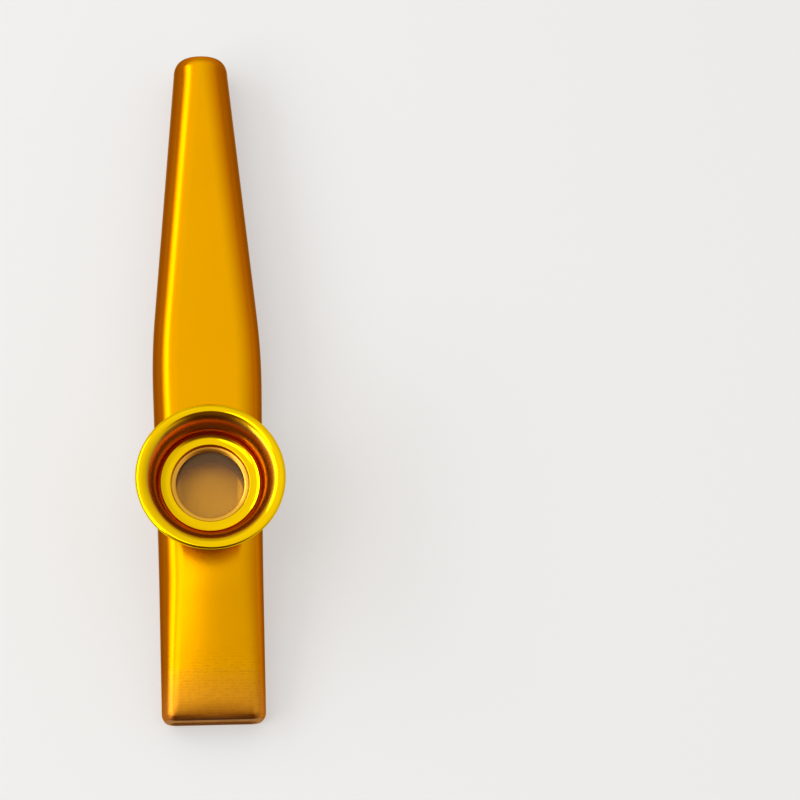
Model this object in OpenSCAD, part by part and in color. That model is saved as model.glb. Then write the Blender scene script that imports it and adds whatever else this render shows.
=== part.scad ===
// Metal kazoo: a tapered tube with a flattened mouth end, a threaded turret on its top,
// a vibrating membrane on the turret and a flared bell that screws down over it.
// X runs across, Y along the tube towards the small end, Z up.
// The origin lies on the underside, straight below the bell's axis.

/* [Tube] */
// Overall length of the tube
body_len = 120; // [110:0.5:130]
// Distance from the bell's axis to the mouth end
mouth_len = 38.2; // [34:0.1:44]
// Width just behind the mouth end
mouth_w = 17.9; // [16.4:0.1:19]
// Height just behind the mouth end
mouth_h = 5.8; // [5.4:0.1:7.2]
// Greatest width, where the long taper begins
shoulder_w = 19.2; // [18.2:0.1:20.4]
// Distance from the bell's axis to the start of the long taper
shoulder_len = 26.4; // [20:0.1:32]
// Width under the front of the turret
body_w = 18; // [17.4:0.1:19]
// Height under the turret
body_h = 11.5; // [10.5:0.1:13]
// Diameter of the small round end
tip_d = 9.6; // [9:0.1:11]
// Thickness of the tube's wall
wall = 0.7; // [0.5:0.05:0.9]
// Radius of the long edges at the mouth end
mouth_edge_r = 2.8; // [2:0.1:3.2]
// Radius of the long edges beside the turret
body_edge_r = 4.4; // [3.6:0.1:5]
// Radius of the long edges at the start of the taper
shoulder_edge_r = 4.3; // [3.6:0.1:4.8]
// Half the length over which each bend along the tube is eased
ease_len = 6.5; // [4:0.1:9]

/* [Mouth opening] */
// How far the end face stands out past the fold in the top wall
face_out = 0.75; // [0.4:0.05:0.9]
// Height of the end face's upper edge over the underside
face_top = 4.7; // [4.2:0.1:5.2]
// Height of the end face's lower edge over the underside
face_low = 0.25; // [0.15:0.05:0.5]
// Radius of the end's corners, seen from above
end_round_r = 1.4; // [1:0.05:1.8]
// Width of the slot that is hummed into
slot_w = 14.6; // [13:0.1:14.8]
// Height of the slot
slot_h = 2; // [1.4:0.1:2.4]

/* [Small end] */
// Radius of the rolled-in edge
tip_roll_r = 1.8; // [1.2:0.05:1.9]
// Length over which the edge rolls in
tip_roll_len = 2.7; // [1.8:0.1:3.2]
// Diameter of the hole in the end
tip_hole_d = 6.2; // [5.6:0.1:6.3]

/* [Turret] */
// Height of the turret above the tube
turret_h = 5.6; // [5:0.1:7]
// Diameter of the air way through the turret
bore_d = 11.8; // [11:0.1:12.6]
// Thickness of the flange over the tube
flange_t = 0.8; // [0.6:0.05:1.2]
// Wall of the spigot that passes through the tube
spigot_wall = 0.7; // [0.5:0.05:0.9]
// How far the spigot reaches below the tube's wall
spigot_below = 1; // [0.7:0.05:1.4]
// How far the spigot's end is rolled out under the tube's wall
stake_w = 0.6; // [0.4:0.05:0.9]
// Length of the plain relief between the flange and the thread
relief_len = 0.5; // [0.4:0.05:0.8]

/* [Thread] */
// Pitch of the thread
pitch = 1.25; // [1:0.05:1.5]
// Depth of each ridge
thread_depth = 0.45; // [0.35:0.05:0.55]
// Clearance between the two threads
thread_gap = 0.1; // [0.08:0.01:0.14]

/* [Membrane] */
// Diameter of the membrane's ring
disc_d = 16.8; // [15.8:0.1:17.6]
// Width of the ring round the film
ring_w = 1.5; // [1.2:0.05:1.7]
// Thickness of the ring
ring_t = 0.35; // [0.25:0.05:0.5]
// Thickness of the film
film_t = 0.08; // [0.05:0.01:0.12]
// How far the film stops inside the ring's edge
film_inset = 0.1; // [0.05:0.05:0.2]

/* [Bell] */
// Diameter over the rim
bell_d = 25.5; // [24.4:0.1:28]
// Height from the clamping face to the top of the rim
cup_h = 5.95; // [5.2:0.05:7]
// Thickness of the bell's wall
bell_wall = 0.65; // [0.55:0.05:0.75]
// Wall outside the female thread
collar_wall = 0.45; // [0.35:0.05:0.6]
// Width of the rolled rim, from its crest to its edge
rim_w = 0.75; // [0.6:0.05:0.9]
// Height of the rolled rim, from its crest to its edge
rim_h = 0.55; // [0.45:0.05:0.65]
// How far the step inside the clamping ring covers the film
cover_w = 1.05; // [0.9:0.05:1.2]
// Width of that step
step_w = 0.8; // [0.6:0.05:1]
// Height of the step's edge over the clamping face
step_h = 0.35; // [0.25:0.05:0.45]
// How much the step rises towards the clamping ring
step_rise = 0.2; // [0.1:0.05:0.3]
// Height of the clamping ring
clamp_h = 1.35; // [1.1:0.05:1.6]
// Radius of the clamping ring's inner edge
clamp_edge_r = 0.25; // [0.15:0.05:0.35]
// Width of the clamping ring's flat
clamp_flat_w = 0.8; // [0.6:0.05:1]
// How much the ring rises from its flat to its outer edge
bead_h = 0.15; // [0.1:0.05:0.25]
// Thickness of the floor at the foot of the clamping ring
floor_t = 0.65; // [0.5:0.05:0.8]
// Width of the groove round the clamping ring
groove_w = 0.35; // [0.25:0.05:0.5]
// Gap between the bell's lower edge and the turret's flange
collar_gap = 0.4; // [0.3:0.05:0.6]

/* [Hidden] */
$fn = 96;
// Clearance between the membrane's ring and the crest of the female thread
disc_gap = 0.2;
// Clearance between the turret and the tube
seat_gap = 0.03;
// How far the flange stays inside the collar's outside
flange_inset = 0.5;
// Depth of the small chamfers on the turned parts
chamfer = 0.2;
// Length that every cut runs past the face that it leaves
overrun = 1;
// Width of a thread ridge at its crest and the slope of its sides
ridge_crest_share = 0.27;
ridge_base_share = 0.63;
// How deep a ridge is rooted in its wall, as a share of its depth
ridge_root_share = 0.4;
// How long a ridge takes to fade out at each end, in turns
ridge_fade_share = 0.12;
// Plain wall left before and after the turret's ridge, and before and after the bell's, in turns
turret_plain_shares = [0.5, 0.5];
bell_plain_shares = [0.62, 0.88];
// Straight steps in a turn of the thread
turn_steps = 48;
// Straight steps in each rounded corner of the tube's section
corner_steps = 8;
// Steps along the tube
tube_steps = 28;
// Straight steps in each rounded stretch of a turned profile
arc_steps = 12;
// Largest share of a section's half width that a corner takes
corner_share = 0.98;
// Share of the mouth end's length after which the tube has its full height
front_share = 0.75;
// Angles between which the rolled rim is drawn, and at which the flare's underside meets it
rim_angles = [80, -140];
underside_a = 104;
// Places of the sections in the folded end, and in the rounding behind it, as shares of each
fold_shares = [1, 0.8, 0.4, 0];
round_shares = [0.66, 0.33];
// Places at which the easing of a bend is averaged, as shares of its half length
ease_shares = [-1, -0.75, -0.5, -0.25, 0, 0.25, 0.5, 0.75, 1];

face_y = -mouth_len;
fold_y = face_y + face_out;
round_y = face_y + end_round_r;
front_y = -mouth_len * (1 - front_share);
fold_share = 1 - face_out / end_round_r;
tip_end_y = body_len - mouth_len;
tip_y = tip_end_y - tip_roll_len;
tube_step = (tip_y - round_y) / tube_steps;

bore_r = bore_d / 2;
spigot_r = bore_r + spigot_wall;
hole_r = spigot_r + seat_gap;
disc_r = disc_d / 2;
window_r = disc_r - ring_w;
female_crest_r = disc_r + disc_gap;
female_root_r = female_crest_r + thread_depth;
male_crest_r = female_root_r - thread_gap;
male_root_r = female_crest_r - thread_gap;
collar_r = female_root_r + collar_wall;
flange_r = min(collar_r - flange_inset, body_w / 2);

flange_top = body_h + flange_t;
seat_z = body_h + turret_h;
clamp_z = seat_z + film_t + ring_t;
rim_z = clamp_z + cup_h;
collar_z = flange_top + collar_gap;
thread_z = flange_top + relief_len;
turret_thread_z = thread_z + pitch * turret_plain_shares[0];
turret_turns = (seat_z - thread_z) / pitch - turret_plain_shares[0] - turret_plain_shares[1];
bell_thread_z = collar_z + pitch * bell_plain_shares[0];
bell_turns = (clamp_z - collar_z) / pitch - bell_plain_shares[0] - bell_plain_shares[1];
// Turn of the bell's ridge that brings it midway between two turns of the turret's
mesh_a = 360 * ((bell_thread_z - turret_thread_z) / pitch - 1 / 2);
throat_r = window_r - cover_w;
cup_r = collar_r - bell_wall;

function mix(a, b, t) = a + (b - a) * t;
function mean(list) = list * [for (v = list) 1] / len(list);

// Value at y on the straight lines through the keys [y, value], carried on past both ends
function on_line(keys, y, i = 0) =
    i == len(keys) - 2 || y <= keys[i + 1][0]
        ? mix(keys[i][1], keys[i + 1][1], (y - keys[i][0]) / (keys[i + 1][0] - keys[i][0]))
        : on_line(keys, y, i + 1);
// The same with each bend eased
function eased(keys, y) = mean([for (s = ease_shares) on_line(keys, y + ease_len * s)]);

width_keys = [[round_y, mouth_w], [front_y, body_w],
    [shoulder_len, shoulder_w], [tip_y, tip_d]];
height_keys = [[round_y, mouth_h], [front_y, body_h], [shoulder_len, body_h], [tip_y, tip_d]];
edge_keys = [[round_y, mouth_edge_r], [front_y, body_edge_r],
    [shoulder_len, shoulder_edge_r], [tip_y, tip_d / 2]];

// Points of a rounded section at y, from its width, its lowest and highest z and its corner radius
function section(y, w, low, high, r) =
    let (
        round_r = min(r, corner_share * min(w, high - low) / 2),
        sides = [[1, 1], [-1, 1], [-1, -1], [1, -1]]
    )
    [for (c = [0:3]) for (i = [0:corner_steps])
        let (a = 90 * (c + i / corner_steps), side = sides[c])
        [side[0] * (w / 2 - round_r) + round_r * cos(a), y,
            (low + high) / 2 + side[1] * ((high - low) / 2 - round_r) + round_r * sin(a)]];

// Section of the tube at y, drawn in on all sides by inset
function tube_section(y, inset) =
    section(y, eased(width_keys, y) - 2 * inset, inset, eased(height_keys, y) - inset,
        eased(edge_keys, y) - inset);

// Section in the rolled-in edge of the small end, at angle a round the roll
function roll_section(a, inset) =
    let (draw_in = tip_roll_r - (tip_roll_r - inset) * cos(a))
    section(tip_y + (tip_roll_len - inset) * sin(a), tip_d - 2 * draw_in, draw_in,
        tip_d - draw_in, tip_d);

mouth_places = concat([for (s = fold_shares) mix(fold_share, 1, s)], fold_share * round_shares);

// Section in the rounded and folded mouth end, at share t of the way from round_y to the end
function mouth_section(t, inset) =
    let (
        y = mix(round_y, face_y, t),
        past_fold = max(0, (fold_y - y) / face_out),
        draw_in = end_round_r * (1 - sqrt(1 - pow(t, 2)))
    )
    section(y + inset * t, eased(width_keys, y) - 2 * (draw_in + inset), inset + face_low * past_fold,
        mix(eased(height_keys, y), face_top, past_fold) - inset,
        mix(eased(edge_keys, y), (face_top - face_low) / 4, past_fold) - inset / 2);

// Solid through a row of sections
module loft(rings) {
    n = len(rings[0]);
    last = len(rings) - 1;
    points = [for (ring = rings) for (p = ring) p];
    sides = [for (k = [0:last - 1]) for (i = [0:n - 1])
        let (a = k * n + i, b = k * n + (i + 1) % n)
        for (face = [[a, b, b + n], [a, b + n, a + n]]) face];
    polyhedron(points, concat([[for (i = [n - 1:-1:0]) i]], sides, [[for (i = [0:n - 1]) last * n + i]]));
}

// The tube's outside, with the folded mouth end and the rolled small end
module tube_outside() {
    loft(concat(
        [for (t = mouth_places) mouth_section(t, 0)],
        [for (k = [0:tube_steps]) tube_section(round_y + k * tube_step, 0)],
        [for (i = [1:arc_steps / 2]) roll_section(180 * i / arc_steps, 0)]));
}

// The space inside the tube
module tube_inside() {
    loft(concat(
        [for (t = mouth_places) mouth_section(t, wall)],
        [for (k = [0:tube_steps]) tube_section(round_y + k * tube_step, wall)],
        [for (i = [1:arc_steps / 2]) roll_section(180 * i / arc_steps, wall)]));
}

// The stretch of the tube that passes under the turret, drawn in on all sides by inset
module tube_stretch(inset) {
    first = floor((-collar_r - round_y) / tube_step);
    last = ceil((collar_r - round_y) / tube_step);
    loft([for (k = [first:last]) tube_section(round_y + k * tube_step, inset)]);
}

module tube() {
    color("#dc9a00")
    difference() {
        tube_outside();
        tube_inside();
        translate([0, face_y - overrun, wall + slot_h / 2]) mouth_slot();
        translate([0, tip_end_y + overrun, tip_d / 2]) rotate([90, 0, 0])
            cylinder(r = tip_hole_d / 2, h = overrun + 2 * wall);
        translate([0, 0, body_h / 2]) cylinder(r = hole_r, h = body_h / 2 + overrun);
    }
}

// Cutter for the slot, with round ends, from y = 0
module mouth_slot() {
    depth = overrun + 2 * wall;
    translate([-(slot_w - slot_h) / 2, 0, -slot_h / 2]) cube([slot_w - slot_h, depth, slot_h]);
    for (side = [-1, 1]) translate([side * (slot_w - slot_h) / 2, 0, 0]) rotate([-90, 0, 0])
        cylinder(r = slot_h / 2, h = depth);
}

// Ridge of a thread from z, for a number of turns, between its root and its crest radius
module ridge(z, turns, root_r, crest_r) {
    steps = ceil(turns * turn_steps);
    inner_r = root_r - (crest_r - root_r) * ridge_root_share;
    base = pitch * (ridge_base_share
        + (ridge_base_share - ridge_crest_share) * ridge_root_share);
    crest = pitch * ridge_crest_share;
    turned = crest_r > root_r ? 1 : -1;
    loft([for (k = [0:steps])
        let (
            turn = turns * k / steps,
            rise = min(1, min(turn, turns - turn) / ridge_fade_share),
            top_r = mix((inner_r + root_r) / 2, crest_r, rise),
            foot = base / 2 * turned,
            top = mix(base, crest, (top_r - inner_r) / (crest_r - inner_r)) / 2 * turned,
            profile = [[inner_r, -foot], [top_r, -top], [top_r, top], [inner_r, foot]]
        )
        [for (p = profile) [p[0] * cos(360 * turn), p[0] * sin(360 * turn), z + pitch * turn + p[1]]]]);
}

module turret() {
    color("#c98a00")
    union() {
        difference() {
            rotate_extrude() polygon([
                [bore_r, body_h / 2], [flange_r, body_h / 2],
                [flange_r, flange_top - chamfer / 2], [flange_r - chamfer / 2, flange_top],
                [male_root_r, flange_top], [male_root_r, seat_z - chamfer],
                [male_root_r - chamfer / 2, seat_z], [bore_r + chamfer / 2, seat_z],
                [bore_r, seat_z - chamfer / 2]]);
            tube_stretch(-seat_gap);
        }
        rotate_extrude() translate([bore_r, body_h - wall - spigot_below])
            square([spigot_wall, wall + spigot_below + flange_t / 2]);
        intersection() {
            rotate_extrude() translate([bore_r, body_h - wall - spigot_below])
                square([spigot_wall + stake_w, wall + spigot_below]);
            tube_stretch(wall + seat_gap);
        }
        ridge(turret_thread_z, turret_turns, male_root_r, male_crest_r);
    }
}

module membrane_film() {
    color("#d8c8a0", 0.6)
    translate([0, 0, seat_z]) cylinder(r = disc_r - film_inset, h = film_t);
}

module membrane_ring() {
    color("#f2f0ea")
    translate([0, 0, seat_z + film_t]) difference() {
        cylinder(r = disc_r, h = ring_t);
        translate([0, 0, -overrun]) cylinder(r = window_r, h = ring_t + 2 * overrun);
    }
}

// Points on an arc of an ellipse round c, from angle a to angle b
function arc(c, rx, rz, a, b) =
    [for (i = [0:arc_steps]) let (t = mix(a, b, i / arc_steps)) [c[0] + rx * cos(t), c[1] + rz * sin(t)]];

// Half section of the bell: collar, step, clamping ring, groove, cup, flare and rolled rim
module bell_profile() {
    step_r = throat_r + step_w;
    step_top = clamp_z + step_h;
    clamp_r = cup_r - groove_w;
    clamp_top = clamp_z + clamp_h;
    bead_top = clamp_top + bead_h;
    rim_c = [bell_d / 2 - rim_w, rim_z - rim_h];
    flare_c = [rim_c[0], clamp_z];
    foot_a = 180 - asin((floor_t + groove_w) / cup_h);
    polygon(concat(
        [[female_root_r + chamfer / 2, collar_z], [female_root_r, collar_z + chamfer / 2]],
        [[female_root_r, clamp_z], [throat_r, clamp_z]],
        [[throat_r, step_top], [step_r, step_top + step_rise]],
        arc([step_r + clamp_edge_r, clamp_top - clamp_edge_r], clamp_edge_r, clamp_edge_r, 180, 90),
        [[step_r + clamp_flat_w, clamp_top], [clamp_r - chamfer / 2, bead_top]],
        [[clamp_r, bead_top - chamfer / 2], [clamp_r, clamp_z + floor_t]],
        arc(flare_c, flare_c[0] - cup_r, cup_h, foot_a, 90),
        arc(rim_c, rim_w, rim_h, rim_angles[0], rim_angles[1]),
        arc(flare_c, flare_c[0] - collar_r, cup_h - bell_wall, underside_a, 180),
        [[collar_r, collar_z + chamfer / 2], [collar_r - chamfer / 2, collar_z]]));
}

module bell() {
    color("#f0b800")
    union() {
        rotate_extrude() bell_profile();
        rotate([0, 0, mesh_a]) ridge(bell_thread_z, bell_turns, female_root_r, female_crest_r);
    }
}

tube();
turret();
membrane_film();
membrane_ring();
bell();
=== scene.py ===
from math import asin, ceil, cos, degrees, exp, pi, radians, sin, sqrt

import bmesh
import bpy
from mathutils import Matrix, Vector


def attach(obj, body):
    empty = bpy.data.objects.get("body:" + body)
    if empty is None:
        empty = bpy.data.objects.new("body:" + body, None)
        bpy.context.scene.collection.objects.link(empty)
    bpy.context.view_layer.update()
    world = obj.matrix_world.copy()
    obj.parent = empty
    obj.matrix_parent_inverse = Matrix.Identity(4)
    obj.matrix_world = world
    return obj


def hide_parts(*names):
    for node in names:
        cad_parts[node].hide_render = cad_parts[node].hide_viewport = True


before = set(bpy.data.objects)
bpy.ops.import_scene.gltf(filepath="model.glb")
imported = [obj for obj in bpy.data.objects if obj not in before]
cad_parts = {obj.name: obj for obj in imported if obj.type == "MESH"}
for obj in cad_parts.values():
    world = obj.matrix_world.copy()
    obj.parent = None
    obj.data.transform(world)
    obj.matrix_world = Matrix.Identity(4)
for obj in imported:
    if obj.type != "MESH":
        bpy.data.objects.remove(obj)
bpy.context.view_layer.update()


# Tube: one seamless aluminium tube, swaged to a taper and pressed flatter towards the mouth,
# where its top wall is folded down to a slot. The small end is rolled in round a hole.
# Satin-blasted and gold anodised after forming. Sizes are in millimetres.
MM = 0.001
BODY_LEN, MOUTH_LEN = 120.0, 38.2
MOUTH_W, BODY_W, SHOULDER_W = 17.9, 18.0, 19.2
MOUTH_H, BODY_H, TIP_D = 5.8, 11.5, 9.6
MOUTH_EDGE_R, BODY_EDGE_R, SHOULDER_EDGE_R = 2.8, 4.4, 4.3
SHOULDER_Y, EASE, CROWN_EASE = 26.4, 6.5, 2.5
WALL = 0.7
FACE_OUT, FACE_TOP, FACE_LOW, END_ROUND = 0.75, 4.7, 0.25, 1.4
DROOP, DROOP_LEN = 0.16, 2.2
SLOT_W, SLOT_H, SLOT_ROUND = 14.6, 2.0, 0.12
TIP_ROLL, TIP_ROLL_LEN, TIP_HOLE_D = 1.8, 2.7, 6.2
HOLE_R, HOLE_SEGMENTS = 6.63, 96
CORNER_STEPS, FLAT_STEPS, BODY_STEPS, ROLL_STEPS, EASE_STEPS = 16, 16, 96, 10, 24
SHARP_FROM = 32

face_y = -MOUTH_LEN
fold_y = face_y + FACE_OUT
round_y = face_y + END_ROUND
front_y = -MOUTH_LEN / 4
tip_end_y = BODY_LEN - MOUTH_LEN
tip_y = tip_end_y - TIP_ROLL_LEN
width_keys = [(round_y, MOUTH_W), (front_y, BODY_W), (SHOULDER_Y, SHOULDER_W), (tip_y, TIP_D)]
height_keys = [(round_y, MOUTH_H), (front_y, BODY_H), (SHOULDER_Y, BODY_H), (tip_y, TIP_D)]
edge_keys = [(round_y, MOUTH_EDGE_R), (front_y, BODY_EDGE_R), (SHOULDER_Y, SHOULDER_EDGE_R),
             (tip_y, TIP_D / 2)]
# How far the top's edges lie below its middle: most where the top slopes down to the mouth.
crown_keys = [(-38.0, 0.30), (-31.5, 0.36), (-24.5, 0.58), (-17.6, 0.85), (-12.5, 0.80), (-8.0, 0.20),
              (tip_y, 0.20)]


def mix(a, b, t):
    return a + (b - a) * t


def on_line(keys, y):
    """Value at y on the line through keys of (y, value)."""
    for (y0, v0), (y1, v1) in zip(keys, keys[1:]):
        if y <= y1:
            break
    return mix(v0, v1, (y - y0) / (y1 - y0))


def eased(keys, y, ease=EASE):
    """The line's mean from ease before y to ease past it, which rounds its bends."""
    return sum(on_line(keys, y + ease * (2 * i / EASE_STEPS - 1))
               for i in range(EASE_STEPS + 1)) / (EASE_STEPS + 1)


def top_sink(x, y, w):
    """How far the top wall lies below its highest line: lower at its edges, and sinking before the fold."""
    side = min(1.0, (2 * x / w) ** 2)
    share = 1 - 0.5 * side
    near = max(0.0, fold_y + DROOP_LEN * share - y) / (DROOP_LEN * share)
    return eased(crown_keys, y, CROWN_EASE) * side + DROOP * share * min(1.0, near) ** 2


def section(y, w, low, high, r, sink=0.0):
    """Points of a rounded section at y, anticlockwise from the right, with finer steps in its corners."""
    r = min(r, 0.98 * min(w, high - low) / 2)
    mid_z, half_h = (low + high) / 2, (high - low) / 2
    reach_x, reach_z = w / 2 - r, half_h - r
    corners = [(1, 1), (-1, 1), (-1, -1), (1, -1)]
    points = []
    for c, (sx, sz) in enumerate(corners):
        for i in range(CORNER_STEPS + 1):
            a = radians(90 * (c + i / CORNER_STEPS))
            points.append((sx * reach_x + r * cos(a), mid_z + sz * reach_z + r * sin(a)))
        nx, nz = corners[(c + 1) % 4]
        start = points[-1]
        stop = (nx * reach_x + r * cos(a), mid_z + nz * reach_z + r * sin(a))
        for i in range(1, FLAT_STEPS):
            t = (1 - cos(pi * i / FLAT_STEPS)) / 2
            points.append((mix(start[0], stop[0], t), mix(start[1], stop[1], t)))
    return [Vector((x, y, z - sink * max(0.0, (z - mid_z) / half_h) * top_sink(x, y, w))) * MM
            for x, z in points]


def tube_section(y, inset):
    return section(y, eased(width_keys, y) - 2 * inset, inset, eased(height_keys, y) - inset,
                   eased(edge_keys, y) - inset, 1.0)


def mouth_section(y_out, inset):
    """Section in the rounded and folded mouth end. y_out is its place on the outside."""
    t = (round_y - y_out) / END_ROUND
    past = max(0.0, (fold_y - y_out) / FACE_OUT)
    draw_in = END_ROUND * (1 - sqrt(max(0.0, 1 - t * t)))
    return section(y_out + inset * t, eased(width_keys, y_out) - 2 * (draw_in + inset),
                   inset + FACE_LOW * past, mix(eased(height_keys, y_out), FACE_TOP, past) - inset,
                   mix(eased(edge_keys, y_out), (FACE_TOP - FACE_LOW) / 4, past) - inset / 2, 1.0 - past)


def roll_section(a, inset):
    """Section in the rolled small end, where the roll has turned by a."""
    draw_in = TIP_ROLL - (TIP_ROLL - inset) * cos(a)
    return section(tip_y + (TIP_ROLL_LEN - inset) * sin(a), TIP_D - 2 * draw_in, draw_in,
                   TIP_D - draw_in, TIP_D)


def ring_mesh(rings):
    """A closed skin through rings of points, the last of which joins the first."""
    bm = bmesh.new()
    rows = [[bm.verts.new(p) for p in ring] for ring in rings]
    for one, two in zip(rows, rows[1:] + rows[:1]):
        for i in range(len(one)):
            j = (i + 1) % len(one)
            bm.faces.new((one[i], one[j], two[j], two[i]))
    return bm


def piece(name, bm, node, body, material):
    """Makes the mesh a piece that stands for a CAD node and rides on its body."""
    bmesh.ops.recalc_face_normals(bm, faces=bm.faces)
    mesh = bpy.data.meshes.new(name)
    bm.to_mesh(mesh)
    bm.free()
    mesh.shade_smooth()
    mesh.set_sharp_from_angle(angle=radians(SHARP_FROM))
    obj = bpy.data.objects.new(name, mesh)
    bpy.context.scene.collection.objects.link(obj)
    mesh.materials.append(material)
    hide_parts(node)
    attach(obj, body)
    return obj


def rgb(hex_code):
    """sRGB hex to linear."""
    parts = [int(hex_code[i:i + 2], 16) / 255 for i in (1, 3, 5)]
    return tuple(c / 12.92 if c <= 0.04045 else ((c + 0.055) / 1.055) ** 2.4 for c in parts) + (1.0,)


def new_material(name):
    material = bpy.data.materials.new(name)
    material.use_nodes = True
    tree = material.node_tree
    return material, tree, tree.nodes["Principled BSDF"]


def add(tree, kind, settings=None, links=None):
    """Adds a node. settings sets its properties or socket values, links joins its sockets to outputs."""
    node = tree.nodes.new(kind)
    for key, value in (settings or {}).items():
        if isinstance(key, str) and hasattr(node, key):
            setattr(node, key, value)
        else:
            node.inputs[key].default_value = value
    for key, output in (links or {}).items():
        tree.links.new(output, node.inputs[key])
    return node


# Satin anodised aluminium: dyed clear oxide over blasted metal. The dye gives rich gold on the flats, the
# rounded edges are painted reddish brown as painted shade, and the blasting spreads reflections into soft
# bands.
# In every colour mix, sockets 6 and 7 are the two colours and output 2 is the result.
CLOUDS, DASHES, GRAIN = 110.0, 1300.0, 1700.0  # noise scales: 9, 0.8 and 0.6 mm
ROWS = 628.0  # wave scale: 0.5 mm
SHADE_TIP_FROM, SHADE_TIP_TO = -10.0, 60.0
MOUTH_END_FROM, MOUTH_END_TO = -29.0, -37.6
MARKS_FROM, MARKS_TO = -24.0, -31.0
END_FROM, END_TO = -37.9, -38.1
DISH_FROM, DISH_TO = -6.0, 12.0

satin_gold, tree, shader = new_material("satin_anodised_gold")
shader.inputs["Metallic"].default_value = 1.0
shader.inputs["Specular Tint"].default_value = rgb("#f0cc9c")
place = add(tree, "ShaderNodeTexCoord")
axes = add(tree, "ShaderNodeSeparateXYZ", links={0: place.outputs["Object"]})
facing = add(tree, "ShaderNodeSeparateXYZ", links={0: place.outputs["Normal"]})
# Cloudy change of the dye over some 9 mm.
cloud = add(tree, "ShaderNodeTexNoise", {"Scale": CLOUDS, "Detail": 2.0},
            {"Vector": place.outputs["Object"]})
tone = add(tree, "ShaderNodeMix", {"data_type": "RGBA", 6: rgb("#f6ad00"), 7: rgb("#f0a900")},
           {"Factor": cloud.outputs["Fac"]})
# Painted shade by how far the skin has turned from the level top: none to 10 degrees, all past 70,
# a little more on the left side than on the right, and more on the right towards the small end.
level = add(tree, "ShaderNodeMath", {"operation": "ABSOLUTE"}, {0: facing.outputs["Z"]})
turned = add(tree, "ShaderNodeMath", {"operation": "MULTIPLY_ADD", 1: 0.1},
             {0: facing.outputs["X"], 2: level.outputs[0]})
to_tip = add(tree, "ShaderNodeMapRange", {"From Min": SHADE_TIP_FROM * MM, "From Max": SHADE_TIP_TO * MM,
             "To Max": 0.24}, {"Value": axes.outputs["Y"]})
to_right = add(tree, "ShaderNodeMath", {"operation": "MAXIMUM", 1: 0.0}, {0: facing.outputs["X"]})
painted_shade_tip_right = add(tree, "ShaderNodeMath", {"operation": "MULTIPLY"},
             {0: to_tip.outputs["Result"], 1: to_right.outputs[0]})
painted_shade_amount = add(tree, "ShaderNodeMath", {"operation": "SUBTRACT"}, {0: turned.outputs[0], 1: painted_shade_tip_right.outputs[0]})
ramp = add(tree, "ShaderNodeValToRGB", links={"Fac": painted_shade_amount.outputs[0]})
stops = ramp.color_ramp.elements
stops[0].position, stops[0].color = 0.35, rgb("#9e7550")
stops[1].position, stops[1].color = 0.985, rgb("#ffffff")
for position, colour in ((0.56, "#b58b68"), (0.63, "#c59b70"), (0.72, "#ddb290"), (0.82, "#f5d6b4"),
                         (0.94, "#fff7e6")):
    stops.new(position).color = rgb(colour)
# Painted shade: the ramp darkens the tone on the rounded edges.
painted_shade_colour = add(tree, "ShaderNodeMix", {"data_type": "RGBA", "blend_type": "MULTIPLY", 0: 1.0},
           {6: tone.outputs[2], 7: ramp.outputs["Color"]})
# The last few millimetres before the mouth are duller and browner, and the cut end face is painted a
# lighter brown as painted shade.
mouth_end_share = add(tree, "ShaderNodeMapRange", {"From Min": MOUTH_END_FROM * MM, "From Max": MOUTH_END_TO * MM,
           "To Max": 0.42}, {"Value": axes.outputs["Y"]})
mouth_browner = add(tree, "ShaderNodeMix", {"data_type": "RGBA", 7: rgb("#d8863c")},
             {"Factor": mouth_end_share.outputs["Result"], 6: painted_shade_colour.outputs[2]})
at_end = add(tree, "ShaderNodeMapRange", {"From Min": END_FROM * MM, "From Max": END_TO * MM},
             {"Value": axes.outputs["Y"]})
painted_end_shade = add(tree, "ShaderNodeMix", {"data_type": "RGBA", 7: rgb("#b38159")},
               {"Factor": at_end.outputs["Result"], 6: mouth_browner.outputs[2]})
# Forming marks across the mouth end: fine rows 0.5 mm apart, broken into short dashes.
rows_y = add(tree, "ShaderNodeTexWave", {"wave_type": "BANDS", "bands_direction": "Y", "Scale": ROWS,
             "Distortion": 2.0, "Detail": 2.0}, {"Vector": place.outputs["Object"]})
dashes = add(tree, "ShaderNodeTexNoise", {"Scale": DASHES, "Detail": 2.0},
             {"Vector": place.outputs["Object"]})
gaps = add(tree, "ShaderNodeMapRange", {"From Min": 0.42, "From Max": 0.62},
           {"Value": dashes.outputs["Fac"]})
broken = add(tree, "ShaderNodeMath", {"operation": "MULTIPLY"},
             {0: rows_y.outputs["Fac"], 1: gaps.outputs["Result"]})
near_mouth = add(tree, "ShaderNodeMapRange", {"interpolation_type": "SMOOTHSTEP",
                 "From Min": MARKS_FROM * MM, "From Max": MARKS_TO * MM, "To Max": 0.26},
                 {"Value": axes.outputs["Y"]})
pressed = add(tree, "ShaderNodeMath", {"operation": "MULTIPLY"},
              {0: broken.outputs[0], 1: near_mouth.outputs["Result"]})
marked = add(tree, "ShaderNodeMix", {"data_type": "RGBA", 7: rgb("#a8641a")},
             {"Factor": pressed.outputs[0], 6: painted_end_shade.outputs[2]})
tree.links.new(marked.outputs[2], shader.inputs["Base Color"])
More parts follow.
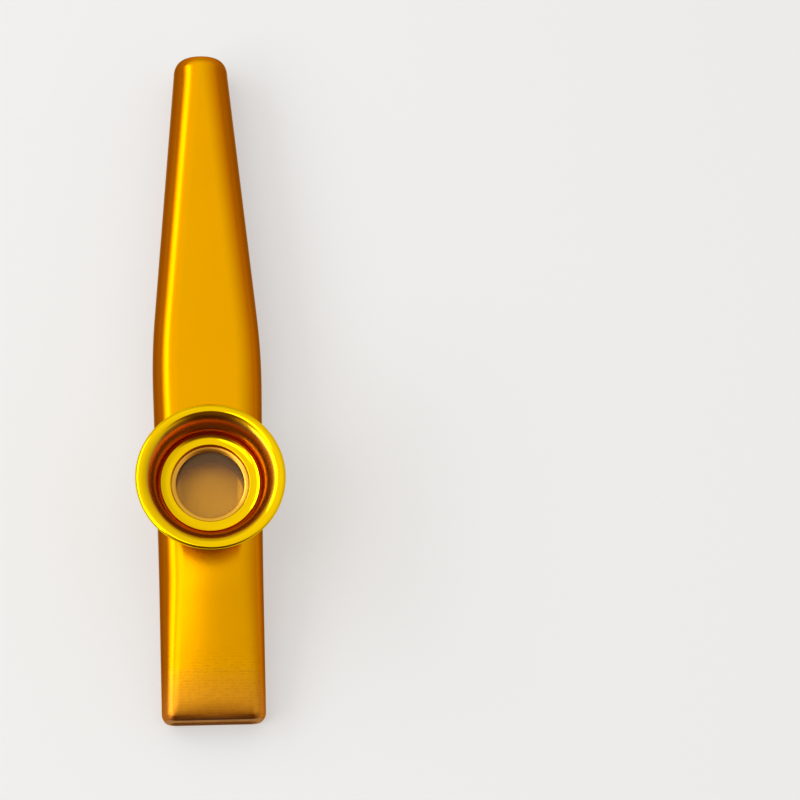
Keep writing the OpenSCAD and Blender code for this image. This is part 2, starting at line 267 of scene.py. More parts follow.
# The inside, where the normal points to the tube's middle line, is not blasted as evenly and is rougher.
middle = add(tree, "ShaderNodeMapRange", {"From Min": round_y * MM, "From Max": front_y * MM,
             "To Min": MOUTH_H / 2 * MM, "To Max": BODY_H / 2 * MM}, {"Value": axes.outputs["Y"]})
above = add(tree, "ShaderNodeMath", {"operation": "SUBTRACT"},
            {0: axes.outputs["Z"], 1: middle.outputs["Result"]})
up_part = add(tree, "ShaderNodeMath", {"operation": "MULTIPLY"},
              {0: above.outputs[0], 1: facing.outputs["Z"]})
out_part = add(tree, "ShaderNodeMath", {"operation": "MULTIPLY_ADD"},
               {0: axes.outputs["X"], 1: facing.outputs["X"], 2: up_part.outputs[0]})
inner = add(tree, "ShaderNodeMath", {"operation": "LESS_THAN", 1: 0.0}, {0: out_part.outputs[0]})
# Blasted grain, felt more than seen, drawn 0.6 mm wide, which is coarser than the real 0.05 mm.
grain = add(tree, "ShaderNodeTexNoise", {"Scale": GRAIN, "Detail": 1.0},
            {"Vector": place.outputs["Object"]})
bump_grain = add(tree, "ShaderNodeBump", {"Strength": 0.04, "Distance": 0.05 * MM},
                 {"Height": grain.outputs["Fac"]})
# The unseen floor under the hole is shaded as if it sloped, so that it sends light back up through the
# film. This is invented, and the mesh stays level there.
dish = add(tree, "ShaderNodeMapRange", {"From Min": DISH_FROM * MM, "From Max": DISH_TO * MM,
           "To Min": DISH_FROM * MM, "To Max": DISH_TO * MM}, {"Value": axes.outputs["Y"]})
bump_dish = add(tree, "ShaderNodeBump", {"Distance": 0.21},
                {"Height": dish.outputs["Result"], "Strength": inner.outputs[0],
                 "Normal": bump_grain.outputs[0]})
tree.links.new(bump_dish.outputs[0], shader.inputs["Normal"])
rough = add(tree, "ShaderNodeMapRange", {"To Min": 0.22, "To Max": 0.28}, {"Value": cloud.outputs["Fac"]})
rough_end = add(tree, "ShaderNodeMath", {"operation": "MULTIPLY_ADD", 1: 0.20},
                {0: mouth_end_share.outputs["Result"], 2: rough.outputs["Result"]})
rough_in = add(tree, "ShaderNodeMath", {"operation": "MULTIPLY_ADD", 1: 0.13},
               {0: inner.outputs[0], 2: rough_end.outputs[0]})
tree.links.new(rough_in.outputs[0], shader.inputs["Roughness"])

mouth_ys = [face_y + d for d in (0, 0.03, 0.1, 0.22, 0.4, 0.58)]
mouth_ys += [fold_y + d for d in (-0.04, 0, 0.05, 0.2, 0.4)]
main_ys = [mix(round_y, tip_y, i / BODY_STEPS) for i in range(BODY_STEPS + 1)]
roll_as = [pi / 2 * i / ROLL_STEPS for i in range(1, ROLL_STEPS)]
slot_low, slot_high = WALL, WALL + SLOT_H
rings = [mouth_section(y, 0.0) for y in mouth_ys]
rings += [tube_section(y, 0.0) for y in main_ys]
rings += [roll_section(a, 0.0) for a in roll_as]
rings += [section(tip_end_y - k * WALL, TIP_HOLE_D, (TIP_D - TIP_HOLE_D) / 2,
                  (TIP_D + TIP_HOLE_D) / 2, TIP_D) for k in (0.15, 0.85)]
rings += [roll_section(a, WALL) for a in reversed(roll_as)]
rings += [tube_section(y, WALL) for y in reversed(main_ys)]
rings += [mouth_section(y, WALL) for y in reversed(mouth_ys)]
rings += [section(y, SLOT_W + 2 * grow, slot_low - grow, slot_high + grow, SLOT_H)
          for y, grow in ((face_y + WALL, 0.0), (face_y + SLOT_ROUND, 0.0), (face_y, SLOT_ROUND))]
tube = piece("tube_skin", ring_mesh(rings), "tube", "kazoo", satin_gold)

# The hole in the top wall, drilled through for the turret.
cutter_bm = bmesh.new()
ends = [[cutter_bm.verts.new(Vector((HOLE_R * cos(2 * pi * i / HOLE_SEGMENTS),
                                     HOLE_R * sin(2 * pi * i / HOLE_SEGMENTS), z)) * MM)
         for i in range(HOLE_SEGMENTS)] for z in (BODY_H / 2, BODY_H + 2)]
for i in range(HOLE_SEGMENTS):
    j = (i + 1) % HOLE_SEGMENTS
    cutter_bm.faces.new((ends[0][i], ends[0][j], ends[1][j], ends[1][i]))
cutter_bm.faces.new(list(reversed(ends[0])))
cutter_bm.faces.new(ends[1])
cutter_mesh = bpy.data.meshes.new("hole_cutter")
cutter_bm.to_mesh(cutter_mesh)
cutter_bm.free()
cutter = bpy.data.objects.new("hole_cutter", cutter_mesh)
bpy.context.scene.collection.objects.link(cutter)
cut = tube.modifiers.new("hole", "BOOLEAN")
cut.operation = "DIFFERENCE"
cut.solver = "EXACT"
cut.object = cutter
drilled = bpy.data.meshes.new_from_object(tube.evaluated_get(bpy.context.evaluated_depsgraph_get()))
tube.modifiers.clear()
tube.data = drilled
bpy.data.objects.remove(cutter)
bpy.data.meshes.remove(cutter_mesh)


# Turret: a turned aluminium neck that stands in the tube's hole, staked out under the wall.
# Its flange is cut to the tube's curve, and its thread takes the bell. Gold anodised as turned.
BORE_R, SPIGOT_R, STAKE_R, STAKE_Z = 5.9, 6.6, 7.2, 9.8
FLANGE_R, FLANGE_TOP, SEAT_Z = 9.0, 12.3, 17.1
MALE_ROOT_R, MALE_CREST_R = 8.5, 8.95
PITCH, THREAD_UP = 1.25, 0.5
RIDGE_BASE, RIDGE_CREST, RIDGE_SINK = 0.63, 0.27, 0.4
RIDGE_FADE, RIDGE_FLANK, RIDGE_FLAT, RIDGE_STEPS = 0.12, 0.93, 0.36, 96
EDGE, EDGE_MID = 0.1, 0.03
SEAT_GAP = 0.03
SEGMENTS = 192

turret_thread_z = FLANGE_TOP + THREAD_UP + PITCH * 0.5


def tube_top(x, y, inset=0.0):
    """Height of the tube's top skin over a place, drawn in by inset."""
    w, h, r = eased(width_keys, y) / 2 - inset, eased(height_keys, y) - inset, eased(edge_keys, y) - inset
    over = min(abs(x) - (w - r), r * 0.999)
    z = h if over <= 0 else h - r + sqrt(r * r - over * over)
    return z - max(0.0, (z - h / 2) / (h / 2)) * top_sink(x, y, 2 * w)


def saddle(x, y):
    """The flange's underside, a little above the tube's top."""
    return tube_top(x, y) + SEAT_GAP


def under(x, y):
    """The staked lip's upper side, a little below the tube's wall."""
    return tube_top(x, y, WALL) - SEAT_GAP


def revolve(profile):
    """Turns a closed profile of (r, z) points round Z. r can be a function of the angle, z of (x, y)."""
    rings = []
    for r, z in profile:
        ring = []
        for i in range(SEGMENTS):
            a = 2 * pi * i / SEGMENTS
            reach = r(a) if callable(r) else r
            x, y = reach * cos(a), reach * sin(a)
            ring.append(Vector((x, y, z(x, y) if callable(z) else z)) * MM)
        rings.append(ring)
    return ring_mesh(rings)


def add_ridge(bm, z, turns, root_r, crest_r, start_a=0.0):
    """Adds a thread's ridge to a mesh, rooted inside its wall, with rounded crest and faded ends."""
    steps = ceil(turns * RIDGE_STEPS)
    inner_r = root_r - (crest_r - root_r) * RIDGE_SINK
    base, crest = PITCH * (RIDGE_BASE + (RIDGE_BASE - RIDGE_CREST) * RIDGE_SINK), PITCH * RIDGE_CREST
    rows = []
    for k in range(steps + 1):
        turn = turns * k / steps
        rise = min(1.0, min(turn, turns - turn) / RIDGE_FADE)
        top_r = mix((inner_r + root_r) / 2, crest_r, rise)
        top = mix(base, crest, (top_r - inner_r) / (crest_r - inner_r))
        flank_r, flank = mix(inner_r, top_r, RIDGE_FLANK), mix(base, top, RIDGE_FLANK) / 2
        a = radians(start_a) + 2 * pi * turn
        rows.append([bm.verts.new(Vector((r * cos(a), r * sin(a), z + PITCH * turn + dz)) * MM)
                     for r, dz in ((inner_r, -base / 2), (flank_r, -flank), (top_r, -top * RIDGE_FLAT),
                                   (top_r, top * RIDGE_FLAT), (flank_r, flank), (inner_r, base / 2))])
    faces = []
    for one, two in zip(rows, rows[1:]):
        for i in range(len(one)):
            j = (i + 1) % len(one)
            faces.append(bm.faces.new((one[i], one[j], two[j], two[i])))
    faces.append(bm.faces.new(rows[0]))
    faces.append(bm.faces.new(list(reversed(rows[-1]))))
    bmesh.ops.recalc_face_normals(bm, faces=faces)


# Turned anodised aluminium: fine tool rings catch the light as hairline circles, drawn 0.75 mm apart,
# coarser than the real feed. The bore is painted dull dark brown, as painted shade.
SPECKLE, TOOL_RINGS = 300.0, 420.0  # noise scale: 3 mm, wave scale: 0.75 mm
BORE_SHADE_R = BORE_R + 0.05

turned_gold, tree, shader = new_material("turned_anodised_gold")
shader.inputs["Metallic"].default_value = 1.0
shader.inputs["Roughness"].default_value = 0.2
place = add(tree, "ShaderNodeTexCoord")
speckle = add(tree, "ShaderNodeTexNoise", {"Scale": SPECKLE, "Detail": 2.0},
              {"Vector": place.outputs["Object"]})
tone = add(tree, "ShaderNodeMix", {"data_type": "RGBA", 6: rgb("#f9c300"), 7: rgb("#f2b800")},
           {"Factor": speckle.outputs["Fac"]})
axes = add(tree, "ShaderNodeSeparateXYZ", links={0: place.outputs["Object"]})
square_x = add(tree, "ShaderNodeMath", {"operation": "MULTIPLY"},
               {0: axes.outputs["X"], 1: axes.outputs["X"]})
square = add(tree, "ShaderNodeMath", {"operation": "MULTIPLY_ADD"},
             {0: axes.outputs["Y"], 1: axes.outputs["Y"], 2: square_x.outputs[0]})
# Painted shade: inside the bore the colour is painted dark brown.
in_bore = add(tree, "ShaderNodeMath", {"operation": "LESS_THAN", 1: (BORE_SHADE_R * MM) ** 2},
              {0: square.outputs[0]})
painted_bore_shade = add(tree, "ShaderNodeMix", {"data_type": "RGBA", 7: rgb("#7a4a1c")},
            {"Factor": in_bore.outputs[0], 6: tone.outputs[2]})
tree.links.new(painted_bore_shade.outputs[2], shader.inputs["Base Color"])
tool = add(tree, "ShaderNodeTexWave", {"wave_type": "BANDS", "bands_direction": "Z", "Scale": TOOL_RINGS,
           "Distortion": 0.4}, {"Vector": place.outputs["Object"]})
bump = add(tree, "ShaderNodeBump", {"Strength": 0.08, "Distance": 0.03 * MM},
           {"Height": tool.outputs["Fac"]})
tree.links.new(bump.outputs[0], shader.inputs["Normal"])

profile = [(BORE_R, SEAT_Z - EDGE), (BORE_R + EDGE_MID, SEAT_Z - EDGE_MID), (BORE_R + EDGE, SEAT_Z),
           (MALE_ROOT_R - EDGE, SEAT_Z), (MALE_ROOT_R, SEAT_Z - 2 * EDGE),
           (MALE_ROOT_R, FLANGE_TOP + EDGE / 2), (MALE_ROOT_R + EDGE / 2, FLANGE_TOP),
           (FLANGE_R - EDGE, FLANGE_TOP),
           (FLANGE_R - EDGE_MID, FLANGE_TOP - EDGE_MID), (FLANGE_R, FLANGE_TOP - EDGE)]
profile += [(r, saddle) for r in (FLANGE_R, 8.5, 8.0, 7.5, 7.0, SPIGOT_R)]
profile += [(r, under) for r in (SPIGOT_R, (SPIGOT_R + STAKE_R) / 2, STAKE_R)]
profile += [(STAKE_R, STAKE_Z), (BORE_R, STAKE_Z)]
turret_bm = revolve(profile)
bmesh.ops.recalc_face_normals(turret_bm, faces=turret_bm.faces)
add_ridge(turret_bm, turret_thread_z, (SEAT_Z - FLANGE_TOP - THREAD_UP) / PITCH - 1,
          MALE_ROOT_R, MALE_CREST_R)
piece("turret_neck", turret_bm, "turret", "kazoo", turned_gold)


# Membrane film: a thin translucent plastic film, stretched over the turret's mouth and bonded to its ring.
# It is a little slack, with one shallow crease across it, too faint to show in the photograph's view.
FILM_R, FILM_T, SHEETS_AT = 8.3, 0.08, (0.2, 0.7)
SLACK, SAG = 0.07, 0.05
CREASE_D, CREASE_W, CREASE_LEN, CREASE_OFF = 0.06, 0.14, 4.4, 4.3
CREASE_X, CREASE_Y = 0.775, 0.63
FILM_RINGS, FILM_SEGMENTS = 40, 96


def film_wave(x, y):
    """Slack of the free film, in millimetres, nothing where it is held."""
    free = max(0.0, 1 - (sqrt(x * x + y * y) / BORE_R) ** 2)
    along, off = CREASE_X * x + CREASE_Y * y, -CREASE_Y * x + CREASE_X * y + CREASE_OFF
    crease = -CREASE_D * exp(-(off / CREASE_W) ** 2) * (-CREASE_LEN < along < 0)
    wave = SLACK * sin(0.9 * x + 0.5) * cos(0.7 * y - 0.3)
    return free * (wave - SAG * free) + crease * min(1.0, 4 * free)


# Thin cast polyester film, faintly milky and yellowed: most of the light goes through, so it shows the
# tube's gold floor under a haze. The mottle is 1.1 mm wide.
MOTTLE = 900.0

film, tree, shader = new_material("membrane_film")
place = add(tree, "ShaderNodeTexCoord")
mottle = add(tree, "ShaderNodeTexNoise", {"Scale": MOTTLE, "Detail": 3.0},
             {"Vector": place.outputs["Object"]})
tone = add(tree, "ShaderNodeMix", {"data_type": "RGBA", 6: rgb("#f8cb92"), 7: rgb("#ecba80")},
           {"Factor": mottle.outputs["Fac"]})
tree.links.new(tone.outputs[2], shader.inputs["Base Color"])
shader.inputs["Roughness"].default_value = 0.3
shader.inputs["IOR"].default_value = 1.5
shader.inputs["Alpha"].default_value = 0.09
bump = add(tree, "ShaderNodeBump", {"Strength": 0.2, "Distance": 0.1 * MM},
           {"Height": mottle.outputs["Fac"]})
tree.links.new(bump.outputs[0], shader.inputs["Normal"])

film_bm = bmesh.new()
sheets = []
for lift in (FILM_T * share for share in SHEETS_AT):
    centre = film_bm.verts.new(Vector((0, 0, SEAT_Z + lift + film_wave(0, 0))) * MM)
    rows = []
    for k in range(1, FILM_RINGS + 1):
        r = FILM_R * k / FILM_RINGS
        spots = [(r * cos(2 * pi * i / FILM_SEGMENTS), r * sin(2 * pi * i / FILM_SEGMENTS))
                 for i in range(FILM_SEGMENTS)]
        rows.append([film_bm.verts.new(Vector((x, y, SEAT_Z + lift + film_wave(x, y))) * MM)
                     for x, y in spots])
    for i in range(FILM_SEGMENTS):
        j = (i + 1) % FILM_SEGMENTS
        film_bm.faces.new((centre, rows[0][i], rows[0][j]))
        for one, two in zip(rows, rows[1:]):
            film_bm.faces.new((one[i], two[i], two[j], one[j]))
    sheets.append(rows[-1])
for i in range(FILM_SEGMENTS):
    j = (i + 1) % FILM_SEGMENTS
    film_bm.faces.new((sheets[0][i], sheets[0][j], sheets[1][j], sheets[1][i]))
piece("membrane_skin", film_bm, "membrane_film", "membrane", film)


# Membrane ring: a punched ring of stiff white plastic card that holds the film flat.
# It is clamped between the turret's seat and the bell's ledge.
RING_R, WINDOW_R, RING_T, RING_EDGE = 8.4, 6.9, 0.35, 0.06

# Uncoated card: dull white with a faint fibre mottle of about 0.4 mm.
FIBRES = 2500.0

ring_card, tree, shader = new_material("white_card")
place = add(tree, "ShaderNodeTexCoord")
fibre = add(tree, "ShaderNodeTexNoise", {"Scale": FIBRES, "Detail": 3.0},
            {"Vector": place.outputs["Object"]})
tone = add(tree, "ShaderNodeMix", {"data_type": "RGBA", 6: rgb("#f1efe8"), 7: rgb("#e2dfd5")},
           {"Factor": fibre.outputs["Fac"]})
tree.links.new(tone.outputs[2], shader.inputs["Base Color"])
shader.inputs["Roughness"].default_value = 0.6
bump = add(tree, "ShaderNodeBump", {"Strength": 0.15, "Distance": 0.04 * MM},
           {"Height": fibre.outputs["Fac"]})
tree.links.new(bump.outputs[0], shader.inputs["Normal"])

ring_low, ring_high = SEAT_Z + FILM_T, SEAT_Z + FILM_T + RING_T
profile = [(WINDOW_R + RING_EDGE, ring_low), (WINDOW_R, ring_low + RING_EDGE),
           (WINDOW_R, ring_high - RING_EDGE), (WINDOW_R + RING_EDGE, ring_high),
           (RING_R - RING_EDGE, ring_high), (RING_R, ring_high - RING_EDGE),
           (RING_R, ring_low + RING_EDGE), (RING_R - RING_EDGE, ring_low)]
piece("membrane_card", revolve(profile), "membrane_ring", "membrane", ring_card)


# Bell: a flared cup turned from aluminium bar, polished and gold anodised. Its rounded ledge clamps
# the membrane, its rim is rolled out, and its collar screws down over the turret.
CLAMP_Z, CUP_H = 17.53, 5.95
COLLAR_Z, COLLAR_R = 12.7, 9.5
FEMALE_CREST_R, FEMALE_ROOT_R = 8.6, 9.05
THROAT_R, CUP_R, GROOVE_W = 5.85, 8.85, 0.35
STEP_R, STEP_H, STEP_RISE, STEP_DROP = 6.65, 0.35, 0.2, 0.12
CLAMP_H, CLAMP_EDGE_R, CLAMP_FLAT_W, CLAMP_FLAT_DROP = 1.35, 0.25, 0.8, 0.07
BEAD_H, BEAD_EDGE_R, BEAD_EXTRA, BEAD_POWER = 0.19, 0.07, 0.45, 1.6
FLOOR_T, BELL_WALL = 0.65, 0.65
BELL_D, RIM_W, RIM_H = 25.5, 0.70, 0.52
LIP_FROM, LIP_TO = 90, -140
CREST_X, CREST_Y = 0.2, -0.15
FACE_STEPS, FLARE_STEPS, LIP_STEPS, COLLAR_STEPS = 16, 44, 30, 32

rim_x, rim_z = BELL_D / 2 - RIM_W, CLAMP_Z + CUP_H
step_top = CLAMP_Z + STEP_H
clamp_r, clamp_top = CUP_R - GROOVE_W, CLAMP_Z + CLAMP_H
flat_r, flat_z = STEP_R + CLAMP_FLAT_W, clamp_top - CLAMP_FLAT_DROP
bead_top = clamp_top + BEAD_H
bell_thread_z = COLLAR_Z + PITCH * 0.62


def arc(cx, cz, rx, rz, a, b, steps):
    """Points on an ellipse, from a to b in degrees."""
    return [(cx + rx * cos(radians(mix(a, b, i / steps))), cz + rz * sin(radians(mix(a, b, i / steps))))
            for i in range(steps + 1)]


def off_centre(r, share):
    """A radius that changes round the circle by a share of the crest's offset."""
    return lambda a: r + share * (CREST_X * cos(a) + CREST_Y * sin(a))


def clamp_face(t):
    """Height of the clamping ring's face at a share t of its width, as a function of the place."""
    rise = (bead_top - flat_z) * t ** BEAD_POWER
    return lambda x, y: flat_z + rise * (1 + BEAD_EXTRA * x * x / (x * x + y * y))


# Polished anodised aluminium: bright clear reflections and lemon gold where it faces out. The steep inside
# is painted a dark reddish brown, as painted shade.
WEAR, TOOL_LINES, HAND = 260.0, 1100.0, 700.0  # noise scales: 4, 0.9 and 1.4 mm
GROOVE_FROM, GROOVE_TO, GROOVE_OUT = clamp_r - 0.08, clamp_r + 0.02, CUP_R + 0.35
GROOVE_HIGH, GROOVE_LOW = clamp_top - 0.03, clamp_top - 0.18
STEP_FROM, STEP_TO = STEP_R + 0.03, STEP_R - 0.01

polished_gold, tree, shader = new_material("polished_anodised_gold")
shader.inputs["Metallic"].default_value = 1.0
shader.inputs["Specular Tint"].default_value = rgb("#cba648")
place = add(tree, "ShaderNodeTexCoord")
axes = add(tree, "ShaderNodeSeparateXYZ", links={0: place.outputs["Object"]})
square_x = add(tree, "ShaderNodeMath", {"operation": "MULTIPLY"},
               {0: axes.outputs["X"], 1: axes.outputs["X"]})
square = add(tree, "ShaderNodeMath", {"operation": "MULTIPLY_ADD"},
             {0: axes.outputs["Y"], 1: axes.outputs["Y"], 2: square_x.outputs[0]})
radius = add(tree, "ShaderNodeMath", {"operation": "SQRT"}, {0: square.outputs[0]})
flat_place = add(tree, "ShaderNodeCombineXYZ", links={0: axes.outputs["X"], 1: axes.outputs["Y"]})
outward = add(tree, "ShaderNodeVectorMath", {"operation": "DOT_PRODUCT"},
              {0: flat_place.outputs[0], 1: place.outputs["Normal"]})
facing = add(tree, "ShaderNodeMath", {"operation": "DIVIDE"},
             {0: outward.outputs["Value"], 1: radius.outputs[0]})
inside = add(tree, "ShaderNodeMapRange", {"interpolation_type": "SMOOTHSTEP", "From Min": -0.44,
             "From Max": -0.76}, {"Value": facing.outputs[0]})
wear = add(tree, "ShaderNodeTexNoise", {"Scale": WEAR, "Detail": 2.0}, {"Vector": place.outputs["Object"]})
tone = add(tree, "ShaderNodeMix", {"data_type": "RGBA", 6: rgb("#fbcf06"), 7: rgb("#f8c903")},
           {"Factor": wear.outputs["Fac"]})
# The groove round the clamping ring is painted the same dark brown as painted shade, and the step inside
# the ring is paler.
groove_in = add(tree, "ShaderNodeMapRange", {"From Min": GROOVE_FROM * MM, "From Max": GROOVE_TO * MM,
                "To Max": 0.45}, {"Value": radius.outputs[0]})
groove_low = add(tree, "ShaderNodeMapRange", {"From Min": GROOVE_HIGH * MM, "From Max": GROOVE_LOW * MM},
                 {"Value": axes.outputs["Z"]})
groove_band = add(tree, "ShaderNodeMath", {"operation": "MULTIPLY"},
                  {0: groove_in.outputs["Result"], 1: groove_low.outputs["Result"]})
within = add(tree, "ShaderNodeMath", {"operation": "LESS_THAN", 1: GROOVE_OUT * MM}, {0: radius.outputs[0]})
groove = add(tree, "ShaderNodeMath", {"operation": "MULTIPLY"},
             {0: groove_band.outputs[0], 1: within.outputs[0]})
brown = add(tree, "ShaderNodeMath", {"operation": "MAXIMUM"},
            {0: groove.outputs[0], 1: inside.outputs["Result"]})
step_in = add(tree, "ShaderNodeMapRange", {"From Min": STEP_FROM * MM, "From Max": STEP_TO * MM},
              {"Value": radius.outputs[0]})
step_tone = add(tree, "ShaderNodeMix", {"data_type": "RGBA", 7: rgb("#efb23c")},
                {"Factor": step_in.outputs["Result"], 6: tone.outputs[2]})
# Painted shade: the steep inside and the groove are painted dark reddish brown.
painted_shade_colour = add(tree, "ShaderNodeMix", {"data_type": "RGBA", 7: rgb("#d8872a")},
           {"Factor": brown.outputs[0], 6: step_tone.outputs[2]})
tree.links.new(painted_shade_colour.outputs[2], shader.inputs["Base Color"])
# Turning rings of about 1 mm and finer, left by the tool, clearest on the inside.
height = add(tree, "ShaderNodeMath", {"operation": "MULTIPLY_ADD", 1: 0.6},
             {0: axes.outputs["Z"], 2: radius.outputs[0]})
line_place = add(tree, "ShaderNodeCombineXYZ", links={0: height.outputs[0]})
lines = add(tree, "ShaderNodeTexNoise", {"Scale": TOOL_LINES, "Detail": 3.0},
            {"Vector": line_place.outputs[0]})
rough = add(tree, "ShaderNodeMapRange", {"To Min": 0.06, "To Max": 0.14}, {"Value": lines.outputs["Fac"]})
rough_step = add(tree, "ShaderNodeMath", {"operation": "MULTIPLY_ADD", 1: 0.15},
                 {0: step_in.outputs["Result"], 2: rough.outputs["Result"]})
rough_in = add(tree, "ShaderNodeMath", {"operation": "MULTIPLY_ADD", 1: 0.16},
               {0: brown.outputs[0], 2: rough_step.outputs[0]})
tree.links.new(rough_in.outputs[0], shader.inputs["Roughness"])
# Hand polishing leaves the rings a little uneven, which frays the edges of sharp reflections.
hand = add(tree, "ShaderNodeTexNoise", {"Scale": HAND, "Detail": 2.0}, {"Vector": place.outputs["Object"]})
relief = add(tree, "ShaderNodeMath", {"operation": "MULTIPLY_ADD", 1: 0.8},
             {0: hand.outputs["Fac"], 2: lines.outputs["Fac"]})
strength = add(tree, "ShaderNodeMapRange", {"To Min": 0.12, "To Max": 0.55},
               {"Value": inside.outputs["Result"]})
bump = add(tree, "ShaderNodeBump", {"Distance": 0.06 * MM},
           {"Height": relief.outputs[0], "Strength": strength.outputs["Result"]})
tree.links.new(bump.outputs[0], shader.inputs["Normal"])

# From the collar up its inside, over the step, the clamping ring and the lip, and down the outside.
profile = [(FEMALE_ROOT_R + EDGE, COLLAR_Z), (FEMALE_ROOT_R, COLLAR_Z + EDGE), (FEMALE_ROOT_R, CLAMP_Z),
           (THROAT_R + 0.05, CLAMP_Z), (THROAT_R, CLAMP_Z + 0.05), (THROAT_R, step_top - 0.06),
           (THROAT_R + 0.02, step_top - 0.02), (THROAT_R + 0.06, step_top + 0.01),
           (STEP_R - 0.12, step_top + STEP_RISE - 0.03), (STEP_R - 0.08, step_top + STEP_RISE - STEP_DROP),
           (STEP_R, step_top + STEP_RISE - STEP_DROP)]
profile += arc(STEP_R + CLAMP_EDGE_R, flat_z - CLAMP_EDGE_R, CLAMP_EDGE_R, CLAMP_EDGE_R, 180, 92, 12)
# The ring's face is flat, then hollows up to its outer edge, a little higher on the left and right.
profile += [(mix(flat_r - 0.05, clamp_r - 0.08, i / FACE_STEPS), clamp_face(i / FACE_STEPS))
            for i in range(FACE_STEPS + 1)]
profile += arc(clamp_r - BEAD_EDGE_R, bead_top - BEAD_EDGE_R, BEAD_EDGE_R, BEAD_EDGE_R, 40, 0, 5)
profile += [(clamp_r, CLAMP_Z + FLOOR_T)]
# The flare's crest is turned a little off the cup's centre, as the width of its lip shows.
foot_a = 180 - degrees(asin((FLOOR_T + GROOVE_W) / CUP_H))
flare = arc(rim_x, CLAMP_Z, rim_x - CUP_R, CUP_H, foot_a, 92, FLARE_STEPS)
profile += [(off_centre(r, (i / FLARE_STEPS) ** 2), z) for i, (r, z) in enumerate(flare)]
lip = arc(rim_x, rim_z - RIM_H, RIM_W, RIM_H, LIP_FROM, LIP_TO, LIP_STEPS)
profile += [(off_centre(r, max(0.0, sin(radians(mix(LIP_FROM, LIP_TO, i / LIP_STEPS))))), z)
            for i, (r, z) in enumerate(lip)]
profile += arc(rim_x, CLAMP_Z, rim_x - COLLAR_R, CUP_H - BELL_WALL, 104, 180, COLLAR_STEPS)
profile += [(COLLAR_R, COLLAR_Z + EDGE), (COLLAR_R - EDGE, COLLAR_Z)]
bell_bm = revolve(profile)
bmesh.ops.recalc_face_normals(bell_bm, faces=bell_bm.faces)
# The bell's ridge starts at the angle where it lies midway between two turns of the turret's.
add_ridge(bell_bm, bell_thread_z, (CLAMP_Z - COLLAR_Z) / PITCH - 1.5, FEMALE_ROOT_R, FEMALE_CREST_R,
          360 * ((bell_thread_z - turret_thread_z) / PITCH - 0.5))
piece("bell_cup", bell_bm, "bell", "bell", polished_gold)


# Floor, lights and camera: a pale table in a pale room, with one large soft lamp on the left and a weaker
# one high on the left, nearer the mouth. Their places and strengths were fitted to the bands on the tube.
FLOOR_HALF, FLOOR_DROP = 1.5, 0.00002
HAZE = 3.0  # noise scale: 0.3 m

floor_mat, tree, shader = new_material("pale_floor")
shader.inputs["Roughness"].default_value = 0.9
shader.inputs["Specular IOR Level"].default_value = 0.2
place = add(tree, "ShaderNodeTexCoord")
haze = add(tree, "ShaderNodeTexNoise", {"Scale": HAZE}, {"Vector": place.outputs["Object"]})
tone = add(tree, "ShaderNodeMix", {"data_type": "RGBA", 6: rgb("#f6f6f5"), 7: rgb("#f3f3f2")},
           {"Factor": haze.outputs["Fac"]})
tree.links.new(tone.outputs[2], shader.inputs["Base Color"])
# Seen by the camera, in metal or through film, it is whiter than its lit paint, and still takes the shadow.
path = add(tree, "ShaderNodeLightPath")
seen = add(tree, "ShaderNodeMath", {"operation": "MAXIMUM"},
           {0: path.outputs["Is Camera Ray"], 1: path.outputs["Is Glossy Ray"]})
seen_too = add(tree, "ShaderNodeMath", {"operation": "MAXIMUM"},
               {0: seen.outputs[0], 1: path.outputs["Is Transmission Ray"]})
share = add(tree, "ShaderNodeMath", {"operation": "MULTIPLY", 1: 0.45}, {0: seen_too.outputs[0]})
white = add(tree, "ShaderNodeEmission", {"Color": rgb("#f7f7f6"), "Strength": 1.0})
blend = add(tree, "ShaderNodeMixShader",
            links={0: share.outputs[0], 1: shader.outputs[0], 2: white.outputs[0]})
tree.links.new(blend.outputs[0], tree.nodes["Material Output"].inputs["Surface"])
floor_bm = bmesh.new()
bmesh.ops.create_grid(floor_bm, x_segments=2, y_segments=2, size=FLOOR_HALF)
floor_mesh = bpy.data.meshes.new("floor")
floor_bm.to_mesh(floor_mesh)
floor_bm.free()
floor_mesh.materials.append(floor_mat)
floor = bpy.data.objects.new("floor", floor_mesh)
floor.location.z = -FLOOR_DROP
bpy.context.scene.collection.objects.link(floor)

world = bpy.data.worlds.new("studio")
bpy.context.scene.world = world
world.use_nodes = True
tree = world.node_tree
background = tree.nodes["Background"]
place = add(tree, "ShaderNodeTexCoord")
axes = add(tree, "ShaderNodeSeparateXYZ", links={0: place.outputs["Generated"]})

# A bright ceiling that gets dimmer to the right and towards the table, with a dark gap where the camera
# stands. Each row: the direction's axis, where the change starts and stops, and its two values.
across = add(tree, "ShaderNodeMath", {"operation": "ABSOLUTE"}, {0: axes.outputs["X"]})
soft = {}
for name, value, start, stop, low, high in (
        ("front", axes.outputs["Y"], -0.19, -0.37, 0.0, 0.87),
        ("front_wide", across.outputs[0], 0.25, 0.7, 1.0, 0.0),
        ("low", axes.outputs["Y"], -0.25, -0.55, 0.0, 0.7),
        ("low_high", axes.outputs["Z"], 0.65, 0.40, 0.0, 1.0),
        ("left_low", axes.outputs["Z"], 0.36, 0.08, 0.0, 0.5),
        ("left_wide", axes.outputs["X"], -0.2, -0.6, 0.0, 1.0),
        ("right_low", axes.outputs["Z"], -0.02, 0.12, 0.85, 1.0),
        ("far", axes.outputs["Y"], 0.75, 1.0, 1.0, 0.58)):
    soft[name] = add(tree, "ShaderNodeMapRange", {"interpolation_type": "SMOOTHSTEP", "From Min": start,
                     "From Max": stop, "To Min": low, "To Max": high}, {"Value": value}).outputs["Result"]
ceiling = add(tree, "ShaderNodeMapRange", {"From Min": -0.15, "From Max": 1.0, "To Min": 0.98,
              "To Max": 0.58}, {"Value": axes.outputs["X"]})
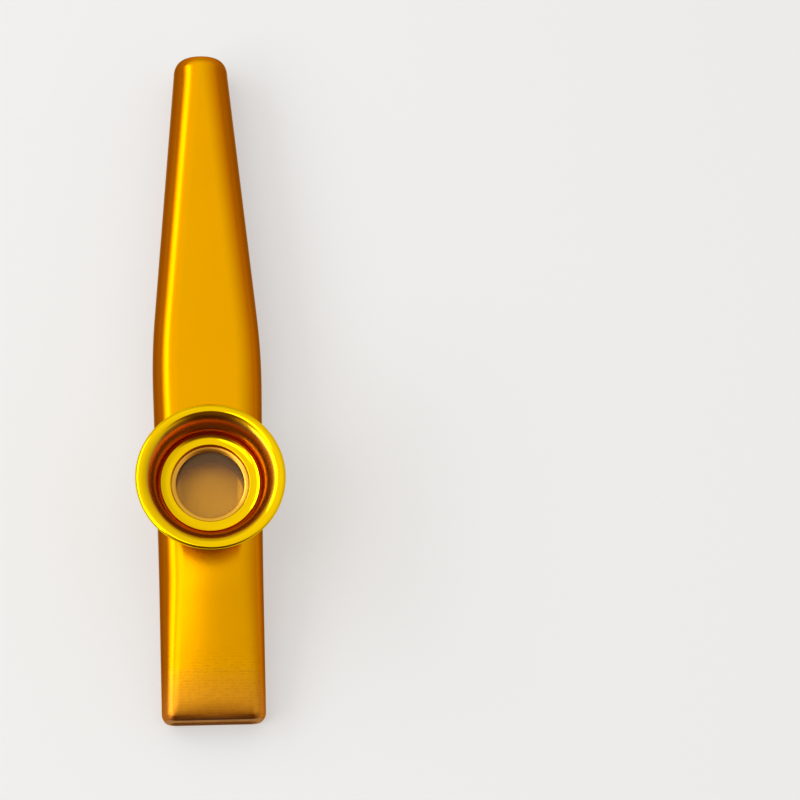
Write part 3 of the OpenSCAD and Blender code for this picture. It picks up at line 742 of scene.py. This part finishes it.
bright = add(tree, "ShaderNodeMath", {"operation": "MULTIPLY"},
             {0: ceiling.outputs["Result"], 1: soft["right_low"]})
bright = add(tree, "ShaderNodeMath", {"operation": "MULTIPLY"}, {0: bright.outputs[0], 1: soft["far"]})
for one, two in (("front", "front_wide"), ("low", "low_high"), ("left_low", "left_wide")):
    dark = add(tree, "ShaderNodeMath", {"operation": "MULTIPLY"}, {0: soft[one], 1: soft[two]})
    kept = add(tree, "ShaderNodeMath", {"operation": "SUBTRACT", 0: 1.0}, {1: dark.outputs[0]})
    bright = add(tree, "ShaderNodeMath", {"operation": "MULTIPLY"},
                 {0: bright.outputs[0], 1: kept.outputs[0]})
tree.links.new(bright.outputs[0], background.inputs["Strength"])
# The gap is a dim warm room, so what it darkens in the metal is brown.
gap = add(tree, "ShaderNodeMath", {"operation": "MULTIPLY"}, {0: soft["front"], 1: soft["front_wide"]})
hue = add(tree, "ShaderNodeMix", {"data_type": "RGBA", 6: rgb("#fffdfa"), 7: rgb("#ffac78")},
          {"Factor": gap.outputs[0]})
tree.links.new(hue.outputs[2], background.inputs["Color"])


def lamp(name, radiance, colour, size_x, size_y, place_at, look_at):
    """An area lamp that looks equally bright wherever it stands: its power follows its size."""
    data = bpy.data.lights.new(name, "AREA")
    data.shape = "RECTANGLE"
    data.size, data.size_y = size_x, size_y
    data.energy = radiance * pi * size_x * size_y
    data.color = rgb(colour)[:3]
    obj = bpy.data.objects.new(name, data)
    back = (Vector(place_at) - Vector(look_at)).normalized()
    right = Vector((0, 1, 0)).cross(back).normalized()
    up = back.cross(right)
    obj.matrix_world = Matrix.Translation(place_at) @ Matrix((right, up, back)).transposed().to_4x4()
    bpy.context.scene.collection.objects.link(obj)


lamp("key_left", 2.4, "#f6feff", 0.30, 1.1, (-0.60, 0.05, 0.42), (0, 0.02, 0.01))
lamp("fill_left", 1.42, "#ffffff", 0.45, 0.22, (-0.29, -0.10, 0.80), (0, -0.02, 0.01))

# The camera stands above the mouth's side, 0.7 m away, a little to the left. Its place and turn were
# fitted to the kazoo's outline.
camera = bpy.data.objects.new("camera", bpy.data.cameras.new("camera"))
camera.data.sensor_width = 36.0
camera.data.lens = 184.10
camera.matrix_world = Matrix(((0.99806, 0.01768, -0.05962, -0.00904),
                              (-0.0336, 0.96008, -0.27771, -0.18116),
                              (0.05233, 0.27917, 0.95881, 0.69309),
                              (0, 0, 0, 1)))
bpy.context.scene.collection.objects.link(camera)
bpy.context.scene.camera = camera
bpy.context.scene.view_settings.view_transform = "Standard"
